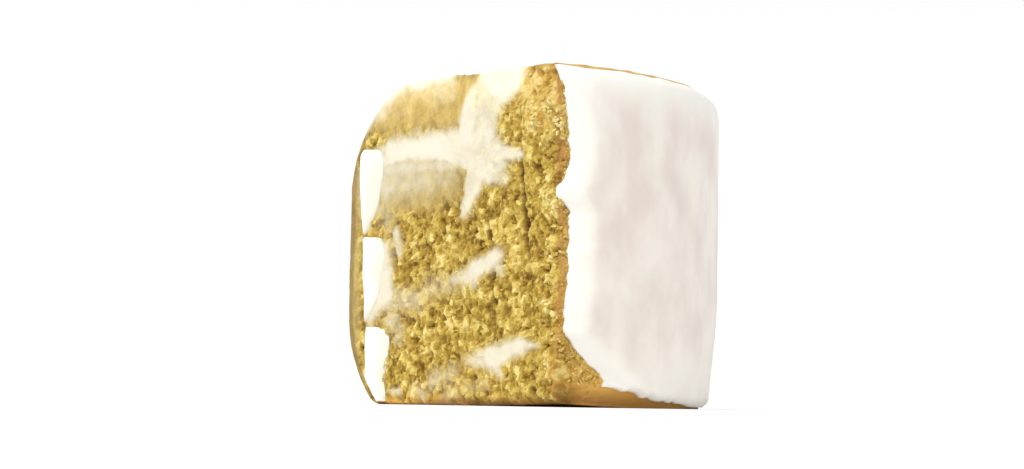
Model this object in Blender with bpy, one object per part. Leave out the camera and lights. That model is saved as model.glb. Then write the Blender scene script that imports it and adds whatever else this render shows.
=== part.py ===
"""A piece of glazed baumkuchen: a sixth of a ring cake, cut straight down to the hole, lying on its flat base.

Metres, +Z up. The ring's axis is vertical. A place in the piece has three ring coordinates: its depth in from the
ring's outer radius, its turn about the ring's axis from the first cut, and its height above the base.
"""

import math

import bmesh
import bpy
from mathutils import Vector, noise

MM = 0.001

# The ring that the piece is cut from
RING_RADIUS = 67.0 * MM
WALL = 46.8 * MM  # from the outer radius to the hole, at mid height
HEIGHT = 44.6 * MM
SECTOR = math.radians(60)
FIRST_CUT = math.radians(-50.4)  # direction of the first cut, seen from the ring's axis
RING_AXIS = Vector((-40.2, 19.8, 0.0)) * MM  # seen from the middle of the piece's footprint

# The section of the ring
RIM_INSET = 1.3 * MM
RIM_HEIGHT = 4.0 * MM
FOOT_INSET = 1.4 * MM
FOOT_HEIGHT = 16.0 * MM
SHOULDER = 15.0 * MM  # radius of the large rounding between the top and the hole
HOLE_FOOT_INSET = 6.2 * MM
HOLE_FOOT_HEIGHT = 14.0 * MM
RIM_RISE = 0.7 * MM  # of the outer rim between the cuts

# Crumb, layers and edges of the cuts
CRUMB_RELIEF = 0.7 * MM
CRUMB_SIZE = 2.4 * MM
CUT_WAVE = 0.35 * MM
CUT_WAVE_SIZE = 14.0 * MM
CRUST_WAVE = 0.3 * MM
CRUST_WAVE_SIZE = 17.0 * MM
FIRST_LAYER = 7.9 * MM  # depth of the first line between layers, at LAYER_LEAN_FROM
LAYER_PITCH = 7.0 * MM
LAYER_LEAN = 0.1  # the layers lean inwards towards the top
LAYER_LEAN_FROM = 22.0 * MM
LAYER_GROOVE = 0.5 * MM
LAYER_GROOVE_WIDTH = 1.3 * MM
HOLE_EDGE_ROUND = 2.6 * MM
HOLE_EDGE_SET_BACK = 0.6 * MM
FOOT_ROUNDS = (2.4 * MM, 0.9 * MM)  # at the foot of a cut, by the outer side and well inside
FOOT_ROUNDS_REACH = 22.0 * MM
CORNER_LIFT = 0.6 * MM  # the underside curls up at the corner of the first cut and the outer side
CORNER_LIFT_REACH = 17.0 * MM

# The icing on the outer side
ICING = 1.0 * MM
ICING_GAP = 0.3 * MM  # between the icing and the sponge
ICING_EDGE = 0.35 * MM  # thickness at its borders
ICING_TAPER = 4.2 * MM  # width of the slope down to the borders by the cuts
ICING_END_TAPER = 1.4 * MM  # and to the top and the foot
ICING_CREST = 0.3 * MM  # extra thickness just inside the slope
ICING_TOP = HEIGHT - 0.5 * MM
ICING_FOOT = 0.5 * MM
ICING_SCALLOP = 0.7 * MM
ICING_SCALLOP_PITCH = 4.2 * MM
ICING_SET_BACK = 0.9 * MM  # of its border from each cut
ICING_OVERLAP = 0.5 * MM  # the furthest that the border reaches past a cut
ICING_BORDER_WAVE = 0.7 * MM
ICING_BORDER_WAVE_SIZE = 5.0 * MM
# Tongues and bays of the border by the first cut: height, half height and how far back, in millimetres
BORDER_BENDS = ((43.5, 2.0, -1.6), (39.5, 1.6, -0.5), (32.0, 1.8, 0.5), (27.2, 1.5, -1.9), (22.5, 1.6, 0.2))
BARE_CORNER = 12.0 * MM  # width of the skin left bare at the foot of the first cut
BARE_CORNER_HEIGHT = 11.5 * MM

# The thick drips of icing on the first cut, along the edge of the hole
DRIP_TOPS = (35.8 * MM, 23.4 * MM, 10.8 * MM)
DRIP_LENGTH = 12.0 * MM
DRIP_WIDTH = 5.8 * MM
DRIP_THICKNESS = 1.4 * MM
DRIP_BLUNTNESS = 0.4  # 1 has round ends, and less is fuller
DRIP_TAPER = 0.6  # 1 narrows evenly to the foot, and less stays wide for longer
DRIP_SIDES = 16
DRIP_RINGS = 10
DRIP_EDGE = WALL - 3.6 * MM  # depth of their straight edge, at the topmost one
DRIP_LEAN = 0.065  # of that edge, away from the hole towards the foot
DRIP_LOWEST = 0.4 * MM
DRIP_OFF_HOLE = 2.7 * MM  # least distance of that edge from the hole's side
DRIP_SKEW = 1.2  # how much thicker they are by that edge

# Cells of the grids, along the turn, the depth and the height
SPONGE_CELLS = (15, 29, 31)
ICING_CELLS = (34, 1, 24)
ROWS_TOWARDS_TOP = 1.3  # above 1, the rows are closer near the top


def clear_scene():
    for thing in list(bpy.data.objects):
        bpy.data.objects.remove(thing)


def new_collection(name):
    collection = bpy.data.collections.new(name)
    bpy.context.scene.collection.children.link(collection)
    return collection


def material(name, colour, roughness):
    finish = bpy.data.materials.new(name)
    finish.use_nodes = True
    surface = finish.node_tree.nodes["Principled BSDF"]
    surface.inputs["Base Color"].default_value = (*colour, 1.0)
    surface.inputs["Roughness"].default_value = roughness
    surface.inputs["Metallic"].default_value = 0.0
    return finish


def ring_point(depth, turn, height, off_cut=0.0):
    """The place of ring coordinates; off_cut is a distance against the turn, square to the radius."""
    angle = FIRST_CUT + turn
    outward = Vector((math.cos(angle), math.sin(angle), 0.0))
    against = Vector((math.sin(angle), -math.cos(angle), 0.0))
    return RING_AXIS + outward * (RING_RADIUS - depth) + against * off_cut + Vector((0.0, 0.0, height))


def corner_fall(distance, reach, fall):
    """How far a quarter of an ellipse has fallen at a distance along its reach."""
    t = min(max(distance / reach, 0.0), 1.0)
    return fall * (1.0 - math.sqrt(1.0 - t * t))


def outer_inset(height):
    rim = corner_fall(height - HEIGHT + RIM_HEIGHT, RIM_HEIGHT, RIM_INSET)
    foot = FOOT_INSET * max(0.0, 1.0 - height / FOOT_HEIGHT) ** 1.5
    return rim + foot


def hole_inset(height):
    shoulder = corner_fall(height - HEIGHT + SHOULDER, SHOULDER, SHOULDER)
    foot = HOLE_FOOT_INSET * max(0.0, 1.0 - height / HOLE_FOOT_HEIGHT) ** 2.4
    return shoulder + foot


def top_height(depth):
    return HEIGHT - corner_fall(depth - WALL + SHOULDER, SHOULDER, SHOULDER)


def section(v, w):
    """Depth and height at v from the outer side to the hole and w from base to top: four sides, blended."""
    w = 1.0 - (1.0 - w) ** ROWS_TOWARDS_TOP
    skin = ICING + ICING_GAP
    diagonal = SHOULDER * math.sin(math.pi / 4)

    def outer_side(t):
        height = HEIGHT * t
        return Vector((outer_inset(height) + skin, height))

    def hole_side(t):
        height = (HEIGHT - SHOULDER + diagonal) * t
        return Vector((WALL - hole_inset(height), height))

    def base(t):
        return outer_side(0.0).lerp(hole_side(0.0), t)

    def top(t):
        depth = (RIM_INSET + skin) * (1.0 - t) + (WALL - SHOULDER + diagonal) * t
        return Vector((depth, top_height(depth)))

    across = outer_side(w) * (1.0 - v) + hole_side(w) * v
    upward = base(v) * (1.0 - w) + top(v) * w
    corners = outer_side(0.0).lerp(hole_side(0.0), v).lerp(outer_side(1.0).lerp(hole_side(1.0), v), w)
    return across + upward - corners


def layer_groove(depth, height):
    """Depth of the fine grooves between the baked layers, which sway a little with the height."""
    sway = 0.5 * MM * noise.noise(Vector((0.0, 3.0, height / (12.0 * MM))))
    lean = LAYER_LEAN * (height - LAYER_LEAN_FROM)
    turns = (depth + sway - lean - FIRST_LAYER) / LAYER_PITCH
    if turns < -0.5:
        return 0.0
    distance = abs(turns - round(turns)) * LAYER_PITCH
    return LAYER_GROOVE * max(0.0, 1.0 - distance / LAYER_GROOVE_WIDTH)


def foot_fall(depth, height):
    """How far the rounded foot of a cut falls back."""
    foot_round = FOOT_ROUNDS[0] + (FOOT_ROUNDS[1] - FOOT_ROUNDS[0]) * min(1.0, depth / FOOT_ROUNDS_REACH)
    return corner_fall(foot_round - height, foot_round, foot_round)


def cut_relief(depth, height, seed):
    """How far a cut stands proud: torn crumb on a wavy knife cut, with grooves and rounded edges."""
    place = Vector((depth, height, seed))
    to_hole = min(WALL - hole_inset(height) - depth, top_height(depth) - height + RIM_INSET)
    near_hole = max(0.0, 1.0 - max(0.0, to_hole) / HOLE_EDGE_ROUND)
    inner = min(1.0, max(0.0, depth - WALL + 2 * SHOULDER) / SHOULDER)
    torn = CRUMB_RELIEF * noise.noise(place / CRUMB_SIZE) - layer_groove(depth, height)
    wave = CUT_WAVE * noise.noise(place / CUT_WAVE_SIZE)
    edges = HOLE_EDGE_SET_BACK * inner * near_hole ** 2 + foot_fall(depth, height)
    return torn * (1.0 - inner * min(1.0, 2.0 * near_hole)) + wave - edges


def corner_lift(depth, turn):
    from_corner = math.hypot(depth, turn * RING_RADIUS)
    return CORNER_LIFT * max(0.0, 1.0 - from_corner / CORNER_LIFT_REACH) ** 1.3


def grid_block(cells):
    """A cube from 0 to 1, with each face divided into a grid by the numbers of cells along X, Y and Z."""
    grid = bmesh.new()
    bmesh.ops.create_cube(grid, size=1.0)
    bmesh.ops.translate(grid, verts=grid.verts, vec=(0.5, 0.5, 0.5))
    for axis, count in enumerate(cells):
        for step in range(1, count):
            place = [0.0, 0.0, 0.0]
            normal = [0.0, 0.0, 0.0]
            place[axis] = step / count
            normal[axis] = 1.0
            everything = grid.verts[:] + grid.edges[:] + grid.faces[:]
            bmesh.ops.bisect_plane(grid, geom=everything, plane_co=place, plane_no=normal)
    return grid


def object_from(grid, name, finish, collection):
    bmesh.ops.recalc_face_normals(grid, faces=grid.faces)
    mesh = bpy.data.meshes.new(name)
    grid.to_mesh(mesh)
    grid.free()
    mesh.shade_smooth()
    mesh.materials.append(finish)
    thing = bpy.data.objects.new(name, mesh)
    collection.objects.link(thing)
    return thing


def sponge_point(u, v, w):
    depth, height = section(v, w)
    turn = SECTOR * u
    crust = Vector((depth, turn * RING_RADIUS, height)) / CRUST_WAVE_SIZE
    height += w ** 3 * (CRUST_WAVE * noise.noise(crust) + RIM_RISE * (1.0 - v) * math.sin(math.pi * u))
    height += (1.0 - w) ** 6 * corner_lift(depth, turn)
    off_cut = 0.0
    if u in (0.0, 1.0):
        off_cut = cut_relief(depth, height, 9.0 * u) * (1.0 - 2.0 * u)
    return ring_point(depth, turn, height, off_cut)


def make_sponge(collection):
    grid = grid_block(SPONGE_CELLS)
    for corner in grid.verts:
        corner.co = sponge_point(*(round(value, 4) for value in corner.co))
    return object_from(grid, "sponge", material("sponge", (0.58, 0.40, 0.12), 0.85), collection)


def drip_point(local, top):
    """A place on a drip, from a place on a ball: a blunt top, a narrow foot and one straight edge by the hole."""
    along = 0.5 - 0.5 * local.z
    girth = max(math.hypot(local.x, local.y), 1e-6)
    fullness = girth ** DRIP_BLUNTNESS
    width = DRIP_WIDTH * fullness * (1.0 - along) ** DRIP_TAPER
    height = max(DRIP_LOWEST, top - DRIP_LENGTH * along)
    edge = min(DRIP_EDGE - DRIP_LEAN * (DRIP_TOPS[0] - height), WALL - hole_inset(height) - DRIP_OFF_HOLE)
    across = 0.5 + 0.5 * local.x / girth
    depth = edge - width * across
    skew = 1.0 + DRIP_SKEW * (0.5 - across)
    off_cut = DRIP_THICKNESS * fullness * local.y / girth * skew * (1.0 - 0.4 * along)
    return ring_point(depth, 0.0, height, off_cut)


def make_drip(number, top, finish, collection):
    ball = bmesh.new()
    bmesh.ops.create_uvsphere(ball, u_segments=DRIP_SIDES, v_segments=DRIP_RINGS, radius=1.0)
    for corner in ball.verts:
        corner.co = drip_point(corner.co.normalized(), top)
    return object_from(ball, f"drip_{number}", finish, collection)


def fuse_drips(sponge):
    """Joins the drips to the sponge with one Boolean union."""
    drips = new_collection("drips")
    finish = sponge.data.materials[0]
    for number, top in enumerate(DRIP_TOPS):
        make_drip(number, top, finish, drips)
    union = sponge.modifiers.new("drips", "BOOLEAN")
    union.operation = "UNION"
    union.operand_type = "COLLECTION"
    union.collection = drips
    union.solver = "EXACT"
    bpy.context.view_layer.update()
    evaluated = sponge.evaluated_get(bpy.context.evaluated_depsgraph_get())
    fused = bpy.data.meshes.new_from_object(evaluated)
    sponge.modifiers.clear()
    sponge.data = fused
    for drip in list(drips.objects):
        bpy.data.objects.remove(drip)
    bpy.data.collections.remove(drips)


def icing_border(height, seed, bends=()):
    """Distance along the outer side from a cut to the icing's wavy border."""
    border = ICING_SET_BACK
    border += ICING_BORDER_WAVE * noise.noise(Vector((seed, 0.0, height / ICING_BORDER_WAVE_SIZE)))
    for middle, half, back in bends:
        border += back * MM * math.exp(-((height / MM - middle) / half) ** 2)
    return max(border, -ICING_OVERLAP)


def icing_thickness(to_cuts, to_ends, slope):
    """Thickness at distances from the borders by the cuts and from those at the top and the foot."""
    by_cuts = max(0.0, 1.0 - to_cuts / slope) ** 1.6
    by_ends = max(0.0, 1.0 - to_ends / ICING_END_TAPER) ** 2
    taper = max(by_cuts, by_ends)
    crest = ICING_CREST * math.exp(-((to_cuts - slope) / (0.8 * slope)) ** 2)
    return ICING - (ICING - ICING_EDGE) * taper + crest * (1.0 - taper)


def icing_point(u, v, w):
    """A place on the icing: u from the first cut to the second, v from outside to inside, w from foot to top."""
    rise = w ** 1.25
    low = max(0.0, 1.0 - rise * ICING_TOP / BARE_CORNER_HEIGHT)
    first = icing_border(rise * ICING_TOP, 2.0, BORDER_BENDS) + BARE_CORNER * low ** 2.2
    second = SECTOR * RING_RADIUS - icing_border(rise * ICING_TOP, 7.0)
    along = first + (second - first) * u
    scallop = 0.5 + 0.5 * math.sin(math.tau * along / ICING_SCALLOP_PITCH + 2.0 * math.sin(along / (5.0 * MM)))
    foot = ICING_FOOT + ICING_SCALLOP * scallop
    height = foot + (ICING_TOP - foot) * rise
    to_cuts = min(along - first, second - along)
    to_ends = min(height - foot, ICING_TOP - height)
    thickness = icing_thickness(to_cuts, to_ends, ICING_TAPER * (1.0 + 1.2 * low))
    depth = outer_inset(height) + ICING - thickness * (1.0 - v)
    return ring_point(depth, along / RING_RADIUS, height + rise ** 3 * RIM_RISE * math.sin(math.pi * u))


def make_icing(collection):
    grid = grid_block(ICING_CELLS)
    for corner in grid.verts:
        corner.co = icing_point(*(round(value, 4) for value in corner.co))
    return object_from(grid, "icing", material("icing", (0.86, 0.80, 0.74), 0.35), collection)


def main():
    clear_scene()
    baumkuchen = new_collection("baumkuchen")
    sponge = make_sponge(baumkuchen)
    fuse_drips(sponge)
    make_icing(baumkuchen)


main()
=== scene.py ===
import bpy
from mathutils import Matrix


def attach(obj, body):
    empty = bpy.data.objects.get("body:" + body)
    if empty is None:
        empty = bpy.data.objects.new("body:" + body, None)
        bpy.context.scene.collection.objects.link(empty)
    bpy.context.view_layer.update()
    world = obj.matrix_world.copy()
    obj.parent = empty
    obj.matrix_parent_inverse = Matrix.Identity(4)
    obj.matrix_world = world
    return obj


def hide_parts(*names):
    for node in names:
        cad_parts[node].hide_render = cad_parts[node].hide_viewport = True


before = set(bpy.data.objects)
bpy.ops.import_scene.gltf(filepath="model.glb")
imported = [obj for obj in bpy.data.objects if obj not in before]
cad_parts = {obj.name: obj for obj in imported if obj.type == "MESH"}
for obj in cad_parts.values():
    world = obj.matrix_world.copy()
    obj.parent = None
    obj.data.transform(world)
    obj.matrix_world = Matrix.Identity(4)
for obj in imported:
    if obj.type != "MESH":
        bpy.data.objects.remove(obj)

"""The looks of a piece of glazed baumkuchen: torn crumb, browned skin, icing, glaze and drips.

Lengths are in metres, and most are written as millimetres times MM. A place in the piece has ring coordinates:
its depth in from the ring's outer radius, its way along the outer side from the first cut, and its height.
"""

import itertools
import math

import bpy
import numpy as np
from mathutils import Matrix, Vector

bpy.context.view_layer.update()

MM = 0.001

# The ring and its section, as in the solids
RING_RADIUS = 67.0 * MM
WALL = 46.8 * MM
HEIGHT = 44.6 * MM
SECTOR = math.radians(60)
FIRST_CUT = math.radians(-50.4)
RING_AXIS = np.array((-40.2, 19.8, 0.0)) * MM
ARC = SECTOR * RING_RADIUS
RIM_INSET = 1.3 * MM
RIM_HEIGHT = 4.0 * MM
FOOT_INSET = 1.4 * MM
FOOT_HEIGHT = 16.0 * MM
SHOULDER = 15.0 * MM
HOLE_FOOT_INSET = 6.2 * MM
HOLE_FOOT_HEIGHT = 14.0 * MM
RIM_RISE = 0.7 * MM
CORNER_LIFT = 0.6 * MM
CORNER_LIFT_REACH = 17.0 * MM
ICING = 1.0 * MM
ICING_GAP = 0.3 * MM
ICING_TOP = HEIGHT - 0.5 * MM

# The second cut takes its crumb from another stretch of the noise
SECOND_CUT_SHIFT = 90.0 * MM

# Cells of the fine grids, along the arc, the depth and the height, and how they crowd towards the cuts
SPONGE_CELLS = (44, 186, 180)
ICING_CELLS = (190, 2, 120)
CELL_CROWDING = 0.72


# ---- Noise ----

# The hash of whole numbers behind the noise
WORD = 0xFFFFFFFF
HASH_START = 2166136261
HASH_PRIME = 16777619
HASH_MIXER = 2246822519

OCTAVES = 4
ROUGH_RANGE = 1.6


def scramble(whole, seed):
    """Even pseudo-random numbers from 0 to 1 for rows of whole numbers."""
    value = np.full(whole.shape[:-1], HASH_START + 7919 * seed, dtype=np.uint64)
    for axis in range(whole.shape[-1]):
        number = (whole[..., axis].astype(np.int64) & WORD).astype(np.uint64)
        value = (value ^ number) * np.uint64(HASH_PRIME)
        value &= np.uint64(WORD)
        value ^= value >> np.uint64(15)
        value = (value * np.uint64(HASH_MIXER)) & np.uint64(WORD)
        value ^= value >> np.uint64(13)
    return value.astype(np.float64) / WORD


def smooth_noise(points, size, seed):
    """Noise from -1 to 1, smooth over the given size."""
    scaled = points / size
    base = np.floor(scaled)
    part = scaled - base
    ease = part * part * (3.0 - 2.0 * part)
    total = np.zeros(len(points))
    for corner in np.ndindex(*(2,) * points.shape[1]):
        weight = np.prod(np.where(corner, ease, 1.0 - ease), axis=1)
        total += weight * scramble(base + corner, seed)
    return 2.0 * total - 1.0


def rough_noise(points, size, seed):
    """Noise from about -1 to 1 with ever finer detail below the given size."""
    total = np.zeros(len(points))
    for octave in range(OCTAVES):
        total += smooth_noise(points, size / 2 ** octave, seed + octave) / 2 ** octave
    return total / ROUGH_RANGE


def waves(points, rise, size, seed):
    """Smooth noise as high as rise."""
    return rise * smooth_noise(points, size, seed)


def bumps(points, rise, size, seed):
    """Rough noise about as high as rise."""
    return rise * rough_noise(points, size, seed)


def cell_noise(points, size, seed, squareness=2.0):
    """The way to the nearest of many loose points, its distance, how much further the next is, and its number."""
    scaled = points / size
    base = np.floor(scaled)
    nearest = np.full(len(points), 9.0)
    second = np.full(len(points), 9.0)
    number = np.zeros(len(points))
    way = np.zeros_like(points)
    dims = points.shape[1]
    for step in np.ndindex(*(3,) * dims):
        cell = base + np.array(step) - 1.0
        loose = np.stack([scramble(cell, seed + 11 * (axis + 1)) for axis in range(dims)], axis=1)
        offset = cell + loose - scaled
        distance = (np.abs(offset) ** squareness).sum(axis=1) ** (1.0 / squareness)
        closer = distance < nearest
        second = np.where(closer, nearest, np.minimum(second, distance))
        number = np.where(closer, scramble(cell, seed), number)
        way = np.where(closer[:, None], offset, way)
        nearest = np.where(closer, distance, nearest)
    return way, nearest, second - nearest, number


def ease_step(low, high, value):
    """From 0 at low to 1 at high, with soft ends; low may be above high."""
    t = np.clip((value - low) / (high - low), 0.0, 1.0)
    return t * t * (3.0 - 2.0 * t)


def mix(first, second, t):
    return first * (1.0 - t) + second * t


# ---- The ring's form ----

def ring_points(depth, along, height, off_cut=0.0):
    """World places of ring coordinates; off_cut is a distance against the turn."""
    angle = FIRST_CUT + along / RING_RADIUS
    radius = RING_RADIUS - depth
    x = RING_AXIS[0] + radius * np.cos(angle) + off_cut * np.sin(angle)
    y = RING_AXIS[1] + radius * np.sin(angle) - off_cut * np.cos(angle)
    return np.stack(np.broadcast_arrays(x, y, height), axis=-1)


def corner_fall(distance, reach, fall):
    """How far a rounded corner has fallen at a distance past its start."""
    t = np.clip(distance / reach, 0.0, 1.0)
    return fall * (1.0 - np.sqrt(1.0 - t * t))


def outer_inset(height):
    rim = corner_fall(height - HEIGHT + RIM_HEIGHT, RIM_HEIGHT, RIM_INSET)
    return rim + FOOT_INSET * np.maximum(0.0, 1.0 - height / FOOT_HEIGHT) ** 1.5


def sponge_side(height):
    """Depth of the sponge under the icing."""
    return outer_inset(height) + ICING + ICING_GAP


def hole_inset(height):
    shoulder = corner_fall(height - HEIGHT + SHOULDER, SHOULDER, SHOULDER)
    return shoulder + HOLE_FOOT_INSET * np.maximum(0.0, 1.0 - height / HOLE_FOOT_HEIGHT) ** 2.4


def top_height(depth):
    return HEIGHT - corner_fall(depth - WALL + SHOULDER, SHOULDER, SHOULDER)


def section(v, w):
    """Depth and height at v from the outer side to the hole and w from base to top: four sides, blended."""
    w = 1.0 - (1.0 - w) ** 1.15
    diagonal = SHOULDER * math.sin(math.pi / 4)

    def outer_side(t):
        height = HEIGHT * t
        return np.stack((sponge_side(height), height))

    def hole_side(t):
        height = (HEIGHT - SHOULDER + diagonal) * t
        return np.stack((WALL - hole_inset(height), height))

    def top(t):
        depth = mix(RIM_INSET + ICING + ICING_GAP, WALL - SHOULDER + diagonal, t)
        return np.stack((depth, top_height(depth)))

    zero = np.zeros_like(v)
    one = np.ones_like(v)
    across = mix(outer_side(w), hole_side(w), v)
    upward = mix(mix(outer_side(zero), hole_side(zero), v), top(v), w)
    low = mix(outer_side(zero), hole_side(zero), v)
    high = mix(outer_side(one), hole_side(one), v)
    return across + upward - mix(low, high, w)


def corner_lift(depth, along):
    """How far the base lifts by the corner of the first cut and the outer side."""
    from_corner = np.hypot(depth, along)
    return CORNER_LIFT * np.maximum(0.0, 1.0 - from_corner / CORNER_LIFT_REACH) ** 1.3


def lifted(height, w, depth, along):
    """Heights with the corner's lift, which fades out upwards."""
    return height + (1.0 - w) ** 6 * corner_lift(depth, along)


def grid_block(cells):
    """Corner places, each a row of whole numbers, and four-sided faces of a block divided into cells."""
    faces = []
    for axis in range(3):
        first, second = [other for other in range(3) if other != axis]
        i, j = np.meshgrid(np.arange(cells[first]), np.arange(cells[second]), indexing="ij")
        for end in (0, cells[axis]):
            ring = ((0, 0), (1, 0), (1, 1), (0, 1))
            outwards = (end > 0) == (axis != 1)
            corners = []
            for di, dj in ring if outwards else ring[::-1]:
                corner = np.empty(i.shape + (3,), dtype=np.int64)
                corner[..., axis] = end
                corner[..., first] = i + di
                corner[..., second] = j + dj
                corners.append(corner.reshape(-1, 3))
            faces.append(np.stack(corners, axis=1))
    faces = np.concatenate(faces)
    places, index = np.unique(faces.reshape(-1, 3), axis=0, return_inverse=True)
    return places, index.reshape(-1, 4)


def mesh_object(name, points, faces, material, attributes=None, smooth=True):
    """An object from an array of points and a list of faces."""
    mesh = bpy.data.meshes.new(name)
    mesh.from_pydata(points.tolist(), [], faces)
    for label, values in (attributes or {}).items():
        kind, field = ("FLOAT_VECTOR", "vector") if np.ndim(values) == 2 else ("FLOAT", "value")
        layer = mesh.attributes.new(label, kind, "POINT")
        layer.data.foreach_set(field, np.ascontiguousarray(values, dtype=np.float32).ravel())
    mesh.polygons.foreach_set("use_smooth", np.broadcast_to(smooth, len(faces)).tolist())
    mesh.materials.append(material)
    mesh.validate()
    thing = bpy.data.objects.new(name, mesh)
    bpy.context.scene.collection.objects.link(thing)
    return thing


# ---- Glaze: soft strokes of thin sugar glaze over the cuts, the top and the hole's side ----

# Each stroke has its ends (depth, along, height), its radii there and the softness of its edge, in
# millimetres, and how opaque it is at each end
STROKES = (
    # The broad smear below the shoulder, its two arms and the haze under it
    ((42, 0, 34), (37, 0, 34.6), (1.9, 2), 1.3, (0.75, 0.97)),
    ((37, 0, 35), (27, 0, 35.3), (2.1, 2.4), 1.4, (0.98, 1)),
    ((27, 0, 35.3), (21, 0, 34.9), (2.4, 3.2), 1.3, (1, 0.93)),
    ((38, 0, 32.8), (23, 0, 32.6), (1.8, 1.4), 1.8, (0.85, 0.8)),
    ((21, 0, 34.8), (14.6, 0, 32.8), (3.2, 2.9), 1.1, (0.9, 0.85)),
    ((14.6, 0, 33.6), (9.2, 0, 33.1), (1.6, 0.6), 0.6, (0.93, 0.9)),
    ((18, 0, 31.5), (20.9, 0, 25.6), (2.6, 0.7), 0.9, (0.92, 0.9)),
    ((15, 0, 31), (12.6, 0, 30.2), (1.9, 0.9), 0.9, (0.9, 0.7)),
    ((41, 0, 31), (24, 0, 31.2), (3.2, 2), 2.6, (0.74, 0.6)),
    ((41.5, 0, 27.6), (37.2, 0, 25), (1.8, 1.8), 1.8, (0.6, 0.35)),
    # The run that feeds it from the top
    ((20.8, 0, 36.6), (19.2, 0, 42), (2.2, 1.5), 1.1, (0.97, 0.92)),
    ((17.6, 0, 36), (16.4, 0, 40.4), (3.3, 3), 1.2, (0.9, 0.84)),
    ((16.6, 0, 41), (13.4, 0, 44.8), (3, 5), 1, (0.84, 1)),
    ((13.4, 0, 45.4), (13.8, 7, 45.4), (5, 3.6), 1, (1, 1)),
    ((13.8, 7, 45.4), (18.5, 15, 45.4), (3.6, 1.8), 0.8, (1, 0.9)),
    # White on the shoulder
    ((43.4, 0, 39.4), (38, 0, 43.4), (1.2, 1.9), 2, (0.85, 1)),
    ((38, 0, 43.6), (31, 0, 45), (1.1, 2.1), 1.5, (1, 1)),
    ((31, 0, 45), (24.6, 0, 45.6), (2.1, 1.9), 1.3, (1, 1)),
    ((38, 0, 43), (25, 0, 44.2), (2.2, 3), 2.8, (0.58, 0.58)),
    ((36, 0, 44), (33, 10, 44.6), (1.4, 3), 1.6, (1, 0.9)),
    ((29, 0, 45.4), (27, 12, 45.4), (2.2, 3), 1.6, (1, 0.9)),
    # The smaller smears
    ((23.2, 0, 16.8), (18.2, 0, 17.6), (0.9, 1.8), 1.2, (0.8, 0.93)),
    ((18.2, 0, 17.8), (13.4, 0, 20), (1.8, 1.3), 1, (0.93, 0.93)),
    ((14.4, 0, 19.4), (12.6, 0, 17.8), (1.2, 0.7), 0.9, (0.85, 0.75)),
    ((28.5, 0, 16.2), (21, 0, 16.6), (1.7, 1.4), 1.6, (0.42, 0.52)),
    ((35.6, 0, 23.8), (34.8, 0, 21.2), (0.9, 0.7), 0.8, (0.78, 0.78)),
    ((37.5, 0, 14.4), (31.5, 0, 14), (1.8, 1.6), 1.6, (0.75, 0.5)),
    ((36.2, 0, 11.6), (34.6, 0, 9.2), (1.7, 1.1), 1.4, (0.65, 0.55)),
    ((31.5, 0, 14.2), (26.5, 0, 16.4), (1.4, 1.2), 1.5, (0.48, 0.42)),
    ((19.6, 0, 5.9), (14.6, 0, 6.6), (0.8, 1.6), 0.9, (0.65, 0.95)),
    ((14.6, 0, 6.4), (8.6, 0, 7.8), (1.8, 1.3), 0.9, (0.97, 0.92)),
    ((8.6, 0, 8), (5, 0, 7.7), (0.8, 0.3), 0.6, (0.88, 0.85)),
    ((13.6, 0, 5.4), (12.6, 0, 3.9), (1.1, 0.6), 0.8, (0.85, 0.75)),
    ((27, 0, 3.4), (22.4, 0, 4.4), (1.2, 1), 1.5, (0.6, 0.5)),
    ((30.5, 0, 2.2), (29, 0, 1.2), (0.8, 0.8), 1, (0.65, 0.65)),
    ((24.5, 0, 1.6), (16, 0, 2.8), (1, 1), 1.5, (0.45, 0.35)),
    ((36.4, 0, 1.9), (34.4, 0, 1.8), (0.5, 0.5), 0.6, (0.8, 0.8)),
    # Round the drips
    ((39.6, 0, 34.2), (41, 0, 27), (2, 1.3), 1.4, (0.97, 0.88)),
    ((38.2, 0, 21.8), (37.6, 0, 15.4), (1.2, 1.8), 1.1, (0.92, 0.95)),
    ((37.6, 0, 15.4), (41, 0, 11.8), (1.8, 1), 1, (0.95, 0.85)),
    ((37.8, 0, 9.4), (38.4, 0, 2), (1, 0.7), 0.8, (0.9, 0.7)),
    # The second cut, which the photograph doesn't show
    ((33, ARC / MM, 21), (24, ARC / MM, 26), (1.2, 2.6), 1.3, (0.8, 0.97)),
    ((24, ARC / MM, 26), (15, ARC / MM, 31), (2.6, 1.6), 1.1, (0.97, 0.9)),
    ((15, ARC / MM, 31), (12, ARC / MM, 38), (1.6, 2.2), 1.1, (0.9, 0.85)),
    ((12, ARC / MM, 38), (13, ARC / MM, 45.4), (2.2, 3.4), 1.1, (0.85, 1)),
    ((31, ARC / MM, 19), (19, ARC / MM, 19), (2, 1.2), 2.2, (0.55, 0.4)),
    ((12, ARC / MM, 9), (8, ARC / MM, 11), (1.1, 0.8), 1, (0.8, 0.8)),
    ((15, ARC / MM - 7, 45.4), (13, ARC / MM, 45.4), (2, 3.4), 0.8, (0.95, 1)),
)

# Where the knife has pressed the crumb smooth, in the same way
PRESSED = (
    ((42, 0, 30), (24, 0, 30), (4.0, 2.6), 2.0, (1.0, 1.0)),
    ((38, 0, 41), (23, 0, 41), (3.4, 3.6), 1.6, (0.95, 0.95)),
    ((46, 0, 31), (45, 0, 4), (2.2, 1.6), 1.2, (1.0, 1.0)),
    ((21.6, 0, 41), (19.4, 0, 45), (1.6, 1.4), 0.8, (1.0, 1.0)),
    ((40, ARC / MM, 18), (24, ARC / MM, 21), (3.0, 2.4), 2.0, (0.9, 0.8)),
)


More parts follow.
